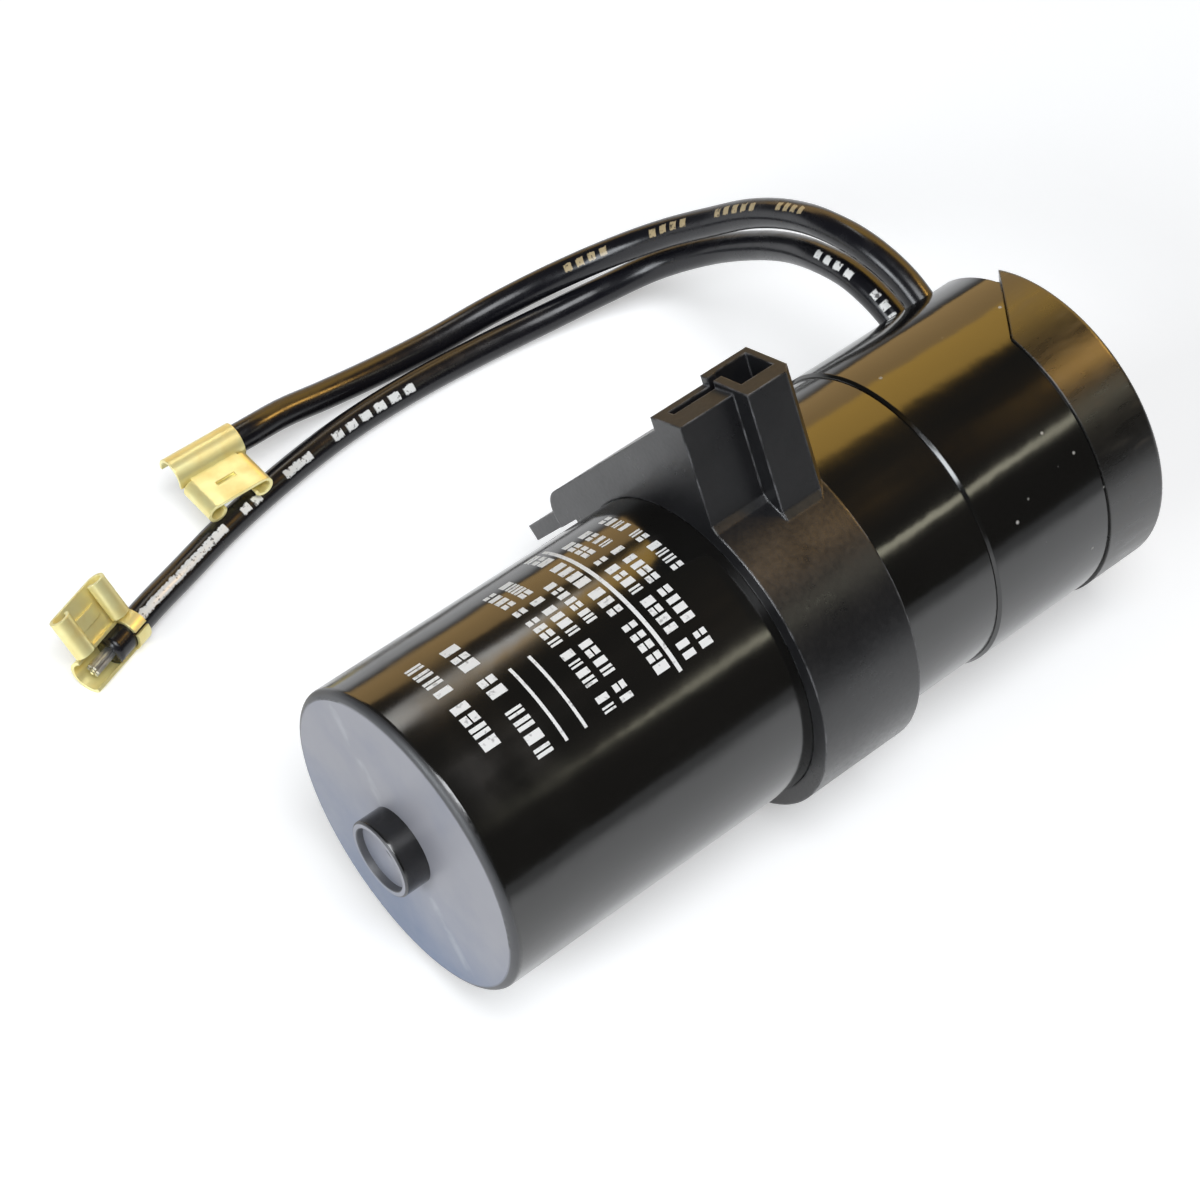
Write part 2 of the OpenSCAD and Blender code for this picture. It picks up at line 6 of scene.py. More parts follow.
import bpy
import numpy as np
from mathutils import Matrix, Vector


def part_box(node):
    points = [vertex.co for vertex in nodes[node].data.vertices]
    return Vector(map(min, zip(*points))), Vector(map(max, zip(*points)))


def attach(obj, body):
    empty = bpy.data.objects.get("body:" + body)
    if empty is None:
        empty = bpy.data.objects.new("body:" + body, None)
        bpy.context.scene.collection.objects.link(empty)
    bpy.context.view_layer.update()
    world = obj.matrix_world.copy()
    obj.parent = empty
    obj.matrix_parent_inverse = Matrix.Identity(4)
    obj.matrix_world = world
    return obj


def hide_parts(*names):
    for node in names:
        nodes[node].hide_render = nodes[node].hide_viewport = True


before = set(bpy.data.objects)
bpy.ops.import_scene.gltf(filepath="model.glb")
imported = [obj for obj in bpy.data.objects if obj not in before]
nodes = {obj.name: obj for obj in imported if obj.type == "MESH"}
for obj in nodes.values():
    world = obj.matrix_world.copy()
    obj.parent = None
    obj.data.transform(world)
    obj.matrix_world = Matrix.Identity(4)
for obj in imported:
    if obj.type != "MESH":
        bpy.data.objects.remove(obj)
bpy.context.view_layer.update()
MM = 0.001


# Case. A tube of black thermoset, moulded in one piece with its closed end. Its side is polished by
# the mould, and the closed end keeps the mould's dull grain, apart from the sides of its stud.

case_low, case_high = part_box("case")
axis_y, axis_z = (case_low.y + case_high.y) / 2, (case_low.z + case_high.z) / 2
case_r = (case_high.y - case_low.y) / 2
stud_h = 2.2 * MM
dish_r = 3.8 * MM
face_x = case_low.x + stud_h
handled_x = face_x + 7 * MM
streak_across = (0, -0.755, 0.656)
CASE_BLACK = (0.006, 0.0056, 0.005, 1)
# the closed end's pale and blue colours are painted reflection on its dull grey-black plastic
FACE_PAINTED_PALE = (0.25, 0.25, 0.28, 1)
FACE_PAINTED_BLUE = (0.12, 0.16, 0.25, 1)
FACE_STREAK = (0.50, 0.50, 0.53, 1)
RIM_GREY = (0.030, 0.031, 0.035, 1)
# painted shade: the dish wall is darker than the closed end, as its recess is shaded
DISH_PAINTED_SHADE = (0.075, 0.077, 0.085, 1)


def start_finish(name):
    """A new node material: the material, its tree, its shader and the Object coordinates."""
    finish = bpy.data.materials.new(name)
    finish.use_nodes = True
    tree = finish.node_tree
    place = tree.nodes.new("ShaderNodeTexCoord").outputs["Object"]
    return finish, tree, tree.nodes["Principled BSDF"], place


def add(tree, kind, inputs, **settings):
    """A node of that kind. Each input is a value for its socket, or another node's output that is
    linked to it."""
    made = tree.nodes.new("ShaderNode" + kind)
    for name, value in settings.items():
        setattr(made, name, value)
    for name, value in inputs.items():
        if isinstance(value, bpy.types.NodeSocket):
            tree.links.new(value, made.inputs[name])
        else:
            made.inputs[name].default_value = value
    return made


def sums(tree, operation, *values):
    """One Math node of that operation on the values."""
    return add(tree, "Math", dict(enumerate(values)), operation=operation).outputs[0]


def vectors(tree, operation, *values):
    """One Vector Math node of that operation: a number for a length or a dot product, and a vector
    for the rest."""
    made = add(tree, "VectorMath", dict(enumerate(values)), operation=operation)
    return made.outputs["Value" if operation in ("LENGTH", "DOT_PRODUCT") else "Vector"]


def times(tree, first, *others):
    """Product of all the values."""
    for other in others:
        first = sums(tree, "MULTIPLY", first, other)
    return first


def grain(tree, place, scale, detail=3.0, stretch=(1, 1, 1)):
    """Noise from 0 to 1 with about `scale` features to the metre, fewer along a stretched axis."""
    drawn = add(tree, "Mapping", {"Vector": place, "Scale": stretch}).outputs[0]
    noise = add(tree, "TexNoise", {"Vector": drawn, "Scale": scale, "Detail": detail})
    return noise.outputs["Fac"]


def spread(tree, value, low, high, first, last):
    """The value's span from low to high, laid over first to last and held beyond them."""
    ends = {"From Min": low, "From Max": high, "To Min": first, "To Max": last}
    return add(tree, "MapRange", {"Value": value, **ends}).outputs["Result"]


def blend(tree, share, first, last):
    """Colour between first, where share is 0, and last, where it is 1."""
    made = add(tree, "Mix", {0: share, 6: first, 7: last}, data_type="RGBA")
    return made.outputs[2]


def bump(tree, height, depth, normal=None):
    """Normal of a surface raised by height, from 0 to 1, times depth in metres."""
    made = add(tree, "Bump", {"Height": height, "Distance": depth})
    if normal:
        tree.links.new(normal, made.inputs["Normal"])
    return made.outputs["Normal"]


def polished(tree, place):
    """Smears along the can, and the slow waves that a polished mould leaves in a side."""
    smear = grain(tree, place, 260, 2, (0.15, 1, 1))
    wave = sums(tree, "MULTIPLY_ADD", grain(tree, place, 85, 1), 3, grain(tree, place, 220, 2))
    return smear, wave


def feed(tree, shader, **sockets):
    """Links outputs to the shader's sockets, and sets plain values on them."""
    for name, value in sockets.items():
        socket = shader.inputs[name.replace("_", " ").title().replace("Ior", "IOR")]
        if isinstance(value, bpy.types.NodeSocket):
            tree.links.new(value, socket)
        else:
            socket.default_value = value


def dress(finish, *names):
    """Gives the named CAD nodes this finish."""
    for name in names:
        nodes[name].data.materials.clear()
        nodes[name].data.materials.append(finish)


case_finish, tree, shader, place = start_finish("case_black")
spot = add(tree, "SeparateXYZ", {"Vector": place}).outputs
normal = add(tree, "NewGeometry", {}).outputs["Normal"]
facing = add(tree, "SeparateXYZ", {"Vector": normal}).outputs["X"]
on_rim = spread(tree, facing, -0.5, -0.12, 1, 0)
on_face = spread(tree, facing, -0.995, -0.95, 1, 0)
cloud = grain(tree, place, 120, 4)

# the closed end's dull grey-black plastic is painted pale grey and bluer low down, a painted
# reflection of the white table and the fill lamp, with a pale streak across it through the stud
painted_blue_low = spread(tree, spot["Z"], axis_z - case_r, axis_z + 0.1 * case_r, 1, 0)
painted_blue_low = sums(tree, "ADD", painted_blue_low, spread(tree, cloud, 0.3, 0.7, -0.2, 0.2))
flow = vectors(tree, "DOT_PRODUCT", place, streak_across)
flow = sums(tree, "SUBTRACT", flow, streak_across[1] * axis_y + streak_across[2] * axis_z)
streak = spread(tree, sums(tree, "ABSOLUTE", flow), 0.2 * MM, 1.0 * MM, 0.28, 0)
streak = times(tree, streak, spread(tree, grain(tree, place, 420, 2), 0.42, 0.6, 0, 1))
face_colour = blend(tree, spread(tree, painted_blue_low, 0, 1, 0, 1), FACE_PAINTED_PALE, FACE_PAINTED_BLUE)
face_colour = blend(tree, streak, face_colour, FACE_STREAK)

# the rim is grey, the wall of the stud's dish is painted darker as painted shade in its recess, and
# the side is black, a little duller where it is held
off_axis = vectors(tree, "SUBTRACT", place, (0, axis_y, axis_z))
off_axis = vectors(tree, "LENGTH", vectors(tree, "MULTIPLY", off_axis, (0, 1, 1)))
in_dish = spread(tree, off_axis, dish_r, dish_r + 0.1 * MM, 1, 0)
side_colour = blend(tree, on_rim, CASE_BLACK, RIM_GREY)
side_colour = blend(tree, in_dish, side_colour, DISH_PAINTED_SHADE)
smear, wave = polished(tree, place)
handled = sums(tree, "ABSOLUTE", sums(tree, "SUBTRACT", spot["X"], handled_x))
handled = spread(tree, handled, 3 * MM, 6 * MM, 1, 0)
handled = times(tree, handled, spread(tree, cloud, 0.4, 0.6, 0, 0.09))
gloss = sums(tree, "ADD", handled, spread(tree, smear, 0.3, 0.7, 0.10, 0.17))
dull = spread(tree, cloud, 0.3, 0.7, 0.42, 0.52)
grained = sums(tree, "MAXIMUM", on_rim, in_dish)
feed(
    tree,
    shader,
    base_color=blend(tree, on_face, side_colour, face_colour),
    roughness=add(tree, "Mix", {0: grained, 2: gloss, 3: dull}).outputs[0],
    ior=1.75,
    normal=bump(tree, wave, 0.03 * MM),
)
dress(case_finish, "case")


def new_piece(name, points, faces):
    """An object at the origin with that mesh, its points in metres."""
    mesh = bpy.data.meshes.new(name)
    mesh.from_pydata(points, [], faces)
    made = bpy.data.objects.new(name, mesh)
    bpy.context.scene.collection.objects.link(made)
    return made


def smooth(made):
    """Shades all the piece's faces smooth."""
    made.data.polygons.foreach_set("use_smooth", np.ones(len(made.data.polygons), bool))


def turned_ring(name, profile, count):
    """Closed ring: the profile, as pairs of place along the can and radius, carried round the can's
    axis in count steps."""
    profile = np.asarray(profile, float)
    size = len(profile)
    x, radius = profile[:, 0][None, :], profile[:, 1][None, :]
    turn = np.linspace(0, 2 * np.pi, count, endpoint=False)[:, None]
    y, z = axis_y + radius * np.cos(turn), axis_z + radius * np.sin(turn)
    points = np.stack(np.broadcast_arrays(x, y, z), axis=-1).reshape(-1, 3)
    step, side = np.meshgrid(np.arange(count), np.arange(size), indexing="ij")
    here, ahead, above = step * size, (step + 1) % count * size, (side + 1) % size
    quads = np.stack([here + side, ahead + side, ahead + above, here + above], axis=-1)
    made = new_piece(name, points.tolist(), quads.reshape(-1, 4).tolist())
    smooth(made)
    made.data.set_sharp_from_angle(angle=radians(60))
    return made


# lip round the stud's top, as millimetres out from the stud and off its axis
lip_profile = [
    (0.05, 4.30), (0, 4.40), (-0.52, 4.40), (-0.63, 4.38), (-0.72, 4.31), (-0.77, 4.22),
    (-0.78, 4.16), (-0.78, 4.12), (-0.78, 3.80), (-0.78, 3.76), (-0.75, 3.70), (-0.66, 3.66),
    (0.05, 3.60),
]
stud_lip = turned_ring("stud_lip", np.asarray(lip_profile) * MM + (case_low.x, 0), 96)
stud_lip.data.materials.append(case_finish)
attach(stud_lip, "root")


# Marking on the case. White ink, pad-printed round the side in rows of short blocks, with three
# plain rules between them. The ink stands a few hundredths of a millimetre above the plastic.

ink_out, ink_in = 0.03 * MM, 0.02 * MM
INK_WHITE = (0.86, 0.86, 0.85, 1)
INK_WORN = (0.45, 0.45, 0.45, 1)

# each row: millimetres from the closed end, height, degrees round at its start, blocks in each word
MARKING_ROWS = [
    (7.0, 1.9, 111, (4, 4)),
    (11.0, 1.9, 122, (4, 2, 3)),
    (19.1, 1.4, 122, (2, 4, 4, 1, 4)),
    (21.3, 1.4, 122, (2, 4, 4, 1, 4)),
    (23.6, 1.25, 94, (7,)),
    (26.1, 1.6, 121, (5, 3, 4, 3)),
    (29.4, 1.4, 122, (2, 4, 4, 1, 4)),
    (31.6, 1.4, 122, (2, 4, 4, 1, 4)),
    (34.5, 1.35, 95, (4, 2, 4)),
]
# each rule: millimetres from the closed end, height, degrees round at its start and at its end
MARKING_RULES = [(13.6, 0.35, 122, 92), (16.0, 0.35, 122, 92), (27.6, 0.45, 124, 50)]
dice = np.random.default_rng(5)


def row_blocks(along, height, start, words):
    """Edges of a row's blocks, in millimetres along the can and round it. A word is a run of blocks
    one pitch apart, and the next word follows 0.7 of a pitch after it. Half of the blocks are
    whole, and the others are parted in two, across or along."""
    pitch = 0.82 * height
    gaps = np.repeat(np.arange(len(words)), words)
    start_round = radians(start) * case_r / MM
    round_from = start_round - pitch * (np.arange(sum(words)) + 0.7 * gaps)
    low, high = along - height / 2, along + height / 2
    width = pitch * dice.uniform(0.52, 0.80, len(round_from))
    flat = np.ones_like(width)
    near = np.stack([low * flat, high * flat, round_from - width, round_from], axis=1)
    far = near.copy()
    style = dice.choice(3, len(near), p=(0.5, 0.3, 0.2))
    gap = np.where(style == 0, 0, 0.1)
    middle = near[:, 2:].mean(axis=1)
    near[:, 1] = np.where(style == 1, along - gap, high)
    far[:, 0] = np.where(style == 1, along + gap, low)
    near[:, 3] = np.where(style == 1, near[:, 3], middle - gap)
    far[:, 2] = np.where(style == 1, far[:, 2], middle + gap)
    return np.concatenate([near, far])


def rule_blocks(along, height, start, end):
    """Edges of a rule, in pieces of about 2 degrees that meet end to end."""
    turn = np.radians(np.linspace(end, start, (start - end) // 2 + 1)) * case_r / MM
    flat = np.ones(len(turn) - 1)
    low, high = along - height / 2, along + height / 2
    return np.stack([low * flat, high * flat, turn[:-1], turn[1:]], axis=1)


def ink_slabs(name, blocks):
    """Closed slabs on the can's side: x is the place along it, and the angle is the length round it
    over its radius. The eight corners of a slab are its ends round, along and through the ink."""
    along = face_x + blocks[:, None, :2, None] * MM
    turn = blocks[:, 2:, None, None] * MM / case_r
    radius = case_r + np.array([-ink_in, ink_out])[None, None, None, :]
    x, turn, radius = np.broadcast_arrays(along, turn, radius)
    y, z = axis_y + radius * np.cos(turn), axis_z + radius * np.sin(turn)
    points = np.stack([x, y, z], axis=-1).reshape(-1, 3)
    tops = [[1, 5, 7, 3], [0, 2, 6, 4]]
    walls = [[0, 4, 5, 1], [2, 3, 7, 6], [0, 1, 3, 2], [4, 6, 7, 5]]
    quads = 8 * np.arange(len(blocks))[:, None, None] + np.array(tops + walls)
    return new_piece(name, points.tolist(), quads.reshape(-1, 4).tolist())


ink_finish, tree, shader, place = start_finish("marking_ink")
worn = grain(tree, place, 1800, 4)
feed(
    tree,
    shader,
    base_color=blend(tree, spread(tree, worn, 0.3, 0.42, 0, 1), INK_WORN, INK_WHITE),
    roughness=spread(tree, worn, 0.3, 0.7, 0.45, 0.6),
)
rows = [row_blocks(*row) for row in MARKING_ROWS]
rules = [rule_blocks(*rule) for rule in MARKING_RULES]
marking = ink_slabs("case_marking", np.concatenate(rows + rules))
marking.data.materials.append(ink_finish)
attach(marking, "root")


# Wound element. Foil and film wound on a mandrel and taped in kraft paper, with a soft foil tab
# drawn out for each side of the circuit. None of it shows in the sealed can.

kraft_finish, tree, shader, place = start_finish("kraft_paper")
fibre = grain(tree, place, 900, 5, (0.2, 1, 1))
feed(
    tree,
    shader,
    base_color=blend(tree, fibre, (0.20, 0.14, 0.075, 1), (0.36, 0.27, 0.15, 1)),
    roughness=0.85,
    normal=bump(tree, fibre, 0.05 * MM),
)
dress(kraft_finish, "wound_element")

foil_finish, tree, shader, place = start_finish("soft_foil")
crease = grain(tree, place, 700, 3)
feed(
    tree,
    shader,
    base_color=(0.80, 0.81, 0.82, 1),
    metallic=1.0,
    roughness=spread(tree, crease, 0.3, 0.7, 0.22, 0.42),
    normal=bump(tree, crease, 0.04 * MM),
)
dress(foil_finish, "foil_tab_a", "foil_tab_b")


# Terminal deck. A disc of brown laminate that is pressed into the case's mouth on a rubber gasket,
# with a rubber vent plug, and two tinned tab terminals riveted through it.

laminate_finish, tree, shader, place = start_finish("brown_laminate")
weave = grain(tree, place, 1600, 2, (1, 0.3, 1))
feed(
    tree,
    shader,
    base_color=blend(tree, weave, (0.10, 0.050, 0.024, 1), (0.17, 0.092, 0.045, 1)),
    roughness=spread(tree, weave, 0.3, 0.7, 0.38, 0.52),
)
dress(laminate_finish, "terminal_deck")

rubber_finish, tree, shader, place = start_finish("seal_rubber")
bloom = grain(tree, place, 500, 4)
feed(
    tree,
    shader,
    base_color=blend(tree, bloom, (0.016, 0.015, 0.014, 1), (0.05, 0.047, 0.043, 1)),
    roughness=spread(tree, bloom, 0.3, 0.7, 0.6, 0.8),
)
dress(rubber_finish, "deck_gasket", "vent_plug")

tin_finish, tree, shader, place = start_finish("tinned_tab")
wipe = grain(tree, place, 500, 3, (1, 1, 0.2))
feed(
    tree,
    shader,
    base_color=blend(tree, wipe, (0.60, 0.60, 0.59, 1), (0.76, 0.76, 0.75, 1)),
    metallic=1.0,
    roughness=spread(tree, wipe, 0.3, 0.7, 0.25, 0.45),
)
dress(tin_finish, "terminal_a", "terminal_b", "rivet_a", "rivet_b")


# Terminal cover. A sleeve of black plastic that snaps over the neck of the case, with a window for
# the leads, and a duller lid that is pushed over its end. Handling has scuffed the lid's rim, and
# the scuffs are tinted warm brown, partly as a painted warm sheen.

COVER_BLACK = (0.005, 0.0047, 0.0043, 1)
DUST_GREY = (0.42, 0.41, 0.38, 1)
LID_BLACK = (0.006, 0.0056, 0.005, 1)
# scuff colour, warm brown partly as a painted warm sheen
LID_SCUFF_AND_SHEEN = (0.020, 0.016, 0.011, 1)


def soft_edge(tree, radius):
    """Normal of a surface whose edges are rounded by that radius."""
    return add(tree, "Bevel", {"Radius": radius}, samples=4).outputs["Normal"]


cover_finish, tree, shader, place = start_finish("cover_black")
smear, wave = polished(tree, place)
mote = add(tree, "TexVoronoi", {"Vector": place, "Scale": 420}).outputs
mote_near = spread(tree, mote["Distance"], 0.05, 0.11, 1, 0)
mote_draw = add(tree, "SeparateColor", {"Color": mote["Color"]}).outputs[0]
dust = times(tree, mote_near, spread(tree, mote_draw, 0.72, 0.73, 0, 1))
sheen = spread(tree, smear, 0.3, 0.7, 0.09, 0.16)
feed(
    tree,
    shader,
    base_color=blend(tree, dust, COVER_BLACK, DUST_GREY),
    roughness=sums(tree, "ADD", sheen, times(tree, dust, 0.4)),
    ior=1.75,
    normal=bump(tree, wave, 0.03 * MM, soft_edge(tree, 0.12 * MM)),
)
dress(cover_finish, "terminal_sleeve")

lid_finish, tree, shader, place = start_finish("lid_black")
scuff_and_sheen = grain(tree, place, 900, 4, (0.25, 1, 1))
feed(
    tree,
    shader,
    base_color=blend(tree, spread(tree, scuff_and_sheen, 0.55, 0.75, 0, 1), LID_BLACK, LID_SCUFF_AND_SHEEN),
    roughness=spread(tree, scuff_and_sheen, 0.3, 0.7, 0.25, 0.35),
    ior=1.75,
    normal=bump(tree, scuff_and_sheen, 0.006 * MM, soft_edge(tree, 0.25 * MM)),
)
dress(lid_finish, "end_lid")


# Clip. One moulding of glass-filled grey-black nylon: a band that grips the case, a plate that lies
# on the machine's panel, a tongue below it and a latch tower above. The filler leaves it dull.

tower_up = (0, 0.438, 0.899)
NYLON_DARK = (0.007, 0.007, 0.008, 1)
NYLON_GREY = (0.013, 0.013, 0.0145, 1)
# pale edge colour: part wear, part painted edge highlight
NYLON_RUBBED_AND_HIGHLIGHT = (0.22, 0.22, 0.23, 1)

clip_finish, tree, shader, place = start_finish("clip_nylon")
sand = grain(tree, place, 1700, 3)
patch = grain(tree, place, 160, 3)
flat_on = add(tree, "NewGeometry", {}).outputs["Normal"]
edge = soft_edge(tree, 0.35 * MM)

# dust lies on what faces along the tower, and the edges are worn pale and smooth in places; the
# pale is partly wear and partly a painted edge highlight
dusty = spread(tree, vectors(tree, "DOT_PRODUCT", flat_on, tower_up), 0.93, 0.97, 0, 1)
on_edge = spread(tree, vectors(tree, "DOT_PRODUCT", edge, flat_on), 0.80, 0.97, 1, 0)
rubbed_and_highlight = times(tree, on_edge, spread(tree, grain(tree, place, 420, 4), 0.42, 0.62, 0, 1))
matt = spread(tree, patch, 0.3, 0.7, 0.28, 0.36)
matt = sums(tree, "ADD", matt, spread(tree, sand, 0.3, 0.7, -0.035, 0.035))
matt = sums(tree, "MULTIPLY_ADD", dusty, 0.35, matt)
feed(
    tree,
    shader,
    base_color=blend(tree, rubbed_and_highlight, blend(tree, patch, NYLON_DARK, NYLON_GREY), NYLON_RUBBED_AND_HIGHLIGHT),
    roughness=sums(tree, "MULTIPLY_ADD", on_edge, -0.12, matt),
    ior=1.6,
    normal=bump(tree, sand, 0.010 * MM, edge),
)
dress(clip_finish, "clip")


# Receptacles. Flag terminals stamped from brass strip: the barrel is rolled round the lead, and the
# two edges of the plate are curled to spring on to a tab. Two more sit on the tabs in the cover.

BRASS_BRIGHT = (0.97, 0.91, 0.46, 1)
BRASS_DULL = (0.86, 0.73, 0.30, 1)

brass_finish, tree, shader, place = start_finish("bright_brass")
tarnish = grain(tree, place, 350, 4)
feed(
    tree,
    shader,
    base_color=blend(tree, spread(tree, tarnish, 0.35, 0.7, 0, 1), BRASS_BRIGHT, BRASS_DULL),
    metallic=0.5,
    roughness=spread(tree, tarnish, 0.3, 0.7, 0.28, 0.40),
    normal=bump(tree, grain(tree, place, 1500, 2), 0.008 * MM, soft_edge(tree, 0.12 * MM)),
)
dress(brass_finish, "receptacle_a", "receptacle_b", "inner_receptacle_a", "inner_receptacle_b")


def by_can(points):
    """The points, in millimetres, with their second value measured from the can's axis."""
    return np.asarray(points, float) + (0, axis_y / MM, 0)


def on_barrel(x, y, z, place, heading, roll):
    """Points, in metres, of a piece on a receptacle: x runs along the barrel and y and z across it,
    in millimetres. They are rolled about the barrel, turned to its heading and moved to place."""
    spin, head = radians(roll), radians(heading)
    y, z = y * np.cos(spin) - z * np.sin(spin), y * np.sin(spin) + z * np.cos(spin)
    x, y = x * np.cos(head) - y * np.sin(head), x * np.sin(head) + y * np.cos(head)
    return (np.stack([x, y, z], axis=-1) + np.asarray(place)).reshape(-1, 3) * MM


def catch_strip(name, place, heading, roll):
    """Spring strip below the slot in a receptacle's plate, which catches the hole in a tab: an arc
    3.4 mm long along the barrel and 1.6 mm wide, 0.2 mm thick, whose middle stands 0.15 mm lower
    than its ends."""
    half, stations = 1.7, 9
    x = np.linspace(-half, half, stations)[:, None, None]
    y = np.array([-5.5, -3.9])[None, :, None]
    z = 0.20 - 0.15 * np.cos(np.pi * x / (2 * half)) + np.array([0, -0.2])
    points = on_barrel(*np.broadcast_arrays(x, y, z), place, heading, roll)
    loop = np.array([0, 2, 3, 1])
    after = np.roll(loop, -1)
    here = 4 * np.arange(stations - 1)[:, None]
    walls = np.stack([here + loop, here + after, here + 4 + after, here + 4 + loop], axis=-1)
    ends = [loop[::-1].tolist(), (4 * (stations - 1) + loop).tolist()]
    made = new_piece(name, points.tolist(), walls.reshape(-1, 4).tolist() + ends)
    made.data.materials.append(brass_finish)
    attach(made, "root")
    return made


barrel_a, heading_a, roll_a = by_can((-22.4, 65.4, 5.6)), -1, 0
barrel_b, heading_b, roll_b = by_can((-45.3, 51.4, 2.3)), 19, 235
catch_a = catch_strip("catch_a", barrel_a, heading_a, roll_a)
catch_b = catch_strip("catch_b", barrel_b, heading_b, roll_b)


# Leads. Stranded copper in black PVC, 3.5 mm over the insulation. Each comes out of the cover's
# window, arches over beside the other and falls to the table. The route is the CAD's, point for
# point, and the bared strands lie in the receptacle's barrel.

lead_d = 3.5 * MM
lead_sides, lead_rings = 28, 240
outlet_turn = radians(25)
outlet_along = 80.7
PVC_BLACK = (0.006, 0.006, 0.0085, 1)
PRINT_TAN = (0.42, 0.33, 0.19, 1)
PRINT_WHITE = (0.84, 0.84, 0.82, 1)


def sweep_path(points, count):
    """Points on the smooth curve through the route, evenly spaced along it, and its length: each
    span is a cubic whose slope at a route point is the chord between its neighbours."""
    knots = np.asarray(points, float) * MM
    chord = np.concatenate([[0], np.cumsum(np.linalg.norm(np.diff(knots, axis=0), axis=1))])
    slope = np.gradient(knots, chord, axis=0)
    fine = np.linspace(0, chord[-1], 20 * count)
    span = np.clip(np.searchsorted(chord, fine, side="right") - 1, 0, len(knots) - 2)
    width = (chord[span + 1] - chord[span])[:, None]
    t = (fine - chord[span])[:, None] / width
    curve = (
        (2 * t**3 - 3 * t**2 + 1) * knots[span]
        + (t**3 - 2 * t**2 + t) * width * slope[span]
        + (3 * t**2 - 2 * t**3) * knots[span + 1]
        + (t**3 - t**2) * width * slope[span + 1]
    )
    run = np.concatenate([[0], np.cumsum(np.linalg.norm(np.diff(curve, axis=0), axis=1))])
    even = np.linspace(0, run[-1], count)
    return np.stack([np.interp(even, run, curve[:, k]) for k in range(3)], axis=1), run[-1]


def lead_tube(name, path, length):
    """Closed tube: at each path point a ring of radius lead_d / 2 in the plane square to the path,
    its first point level to the side. U runs round it from 0 to 1, and V along it in metres."""
    along = np.gradient(path, axis=0)
    along /= np.linalg.norm(along, axis=1)[:, None]
    side = np.cross(along, (0, 0, 1))
    side /= np.linalg.norm(side, axis=1)[:, None]
    up = np.cross(side, along)
    turn = np.linspace(0, 2 * np.pi, lead_sides, endpoint=False)[None, :, None]
    ring = np.cos(turn) * side[:, None] + np.sin(turn) * up[:, None]
    points = (path[:, None] + lead_d / 2 * ring).reshape(-1, 3)
    row, column = np.meshgrid(np.arange(len(path) - 1), np.arange(lead_sides), indexing="ij")
    here, ahead, after = row * lead_sides, (row + 1) * lead_sides, (column + 1) % lead_sides
    quads = np.stack([here + column, here + after, ahead + after, ahead + column], axis=-1)
    last = (len(path) - 1) * lead_sides
    ends = [list(range(lead_sides))[::-1], list(range(last, last + lead_sides))]
    made = new_piece(name, points.tolist(), quads.reshape(-1, 4).tolist() + ends)
    smooth(made)
    u = np.stack([column, column + 1, column + 1, column], axis=-1) / lead_sides
    v = np.stack([row, row, row + 1, row + 1], axis=-1) * length / (len(path) - 1)
    walls = np.stack([u, v], axis=-1).reshape(-1, 2)
    caps = np.tile((0.5, 0.0), (2 * lead_sides, 1))
    made.data.uv_layers.new(name="lead")
    made.data.uv_layers["lead"].data.foreach_set("uv", np.concatenate([walls, caps]).ravel())
    return made


def outlet_point(out, across):
    """Place at the cover's window, in millimetres: out along the outlet's direction from the can's
    axis, and across it."""
    c, s = np.cos(outlet_turn), np.sin(outlet_turn)
    y, z = axis_y / MM + out * c - across * s, axis_z / MM + out * s + across * c
    return [face_x / MM + outlet_along, y, z]


def barrel_point(place, heading, x):
    """Place x along a receptacle's barrel, in millimetres."""
    turn = radians(heading)
    return [place[0] + x * np.cos(turn), place[1] + x * np.sin(turn), place[2]]


lead_start = (-5.3, -0.5, 1.5)
lead_end = (6.5, 4.5, -0.3)
across_a, across_b = 3.28, -3.72
way_a = [
    (38.5, 5.4, 25), (40, 11.4, 27.5), (40.5, 17.4, 30), (40.2, 23.4, 31), (40, 29.4, 30),
    (40.4, 35.4, 27), (40.2, 41.4, 23), (39, 47.4, 18), (36.5, 53.4, 13), (32, 58.4, 8.7),
    (26, 62.2, 5.3), (19.5, 64.4, 3.2), (11, 65.4, 2.2), (3, 65.9, 2.4), (-5, 66, 3.5),
    (-11, 65.8, 4.8),
]
way_b = [
    (38.2, 7.4, 20), (39, 12.9, 23), (39.5, 18.4, 25.3), (39.7, 24.4, 26), (40.2, 30.4, 24.2),
    (41, 36.4, 20.8), (41.2, 42.4, 16.5), (40, 48.9, 11.5), (36.5, 54.4, 7), (31, 57.6, 4),
    (24, 59.6, 2.4), (15, 61, 1.8), (5, 61.6, 1.8), (-5, 61.4, 1.8), (-15, 60.1, 1.8),
    (-25, 58, 1.8), (-33, 55.6, 1.9),
]
route_a = [
    *[outlet_point(out, across_a) for out in lead_start],
    *by_can(way_a),
    *[barrel_point(barrel_a, heading_a, x) for x in lead_end],
]
route_b = [
    *[outlet_point(out, across_b) for out in lead_start],
    *by_can(way_b),
    *[barrel_point(barrel_b, heading_b, x) for x in lead_end],
]


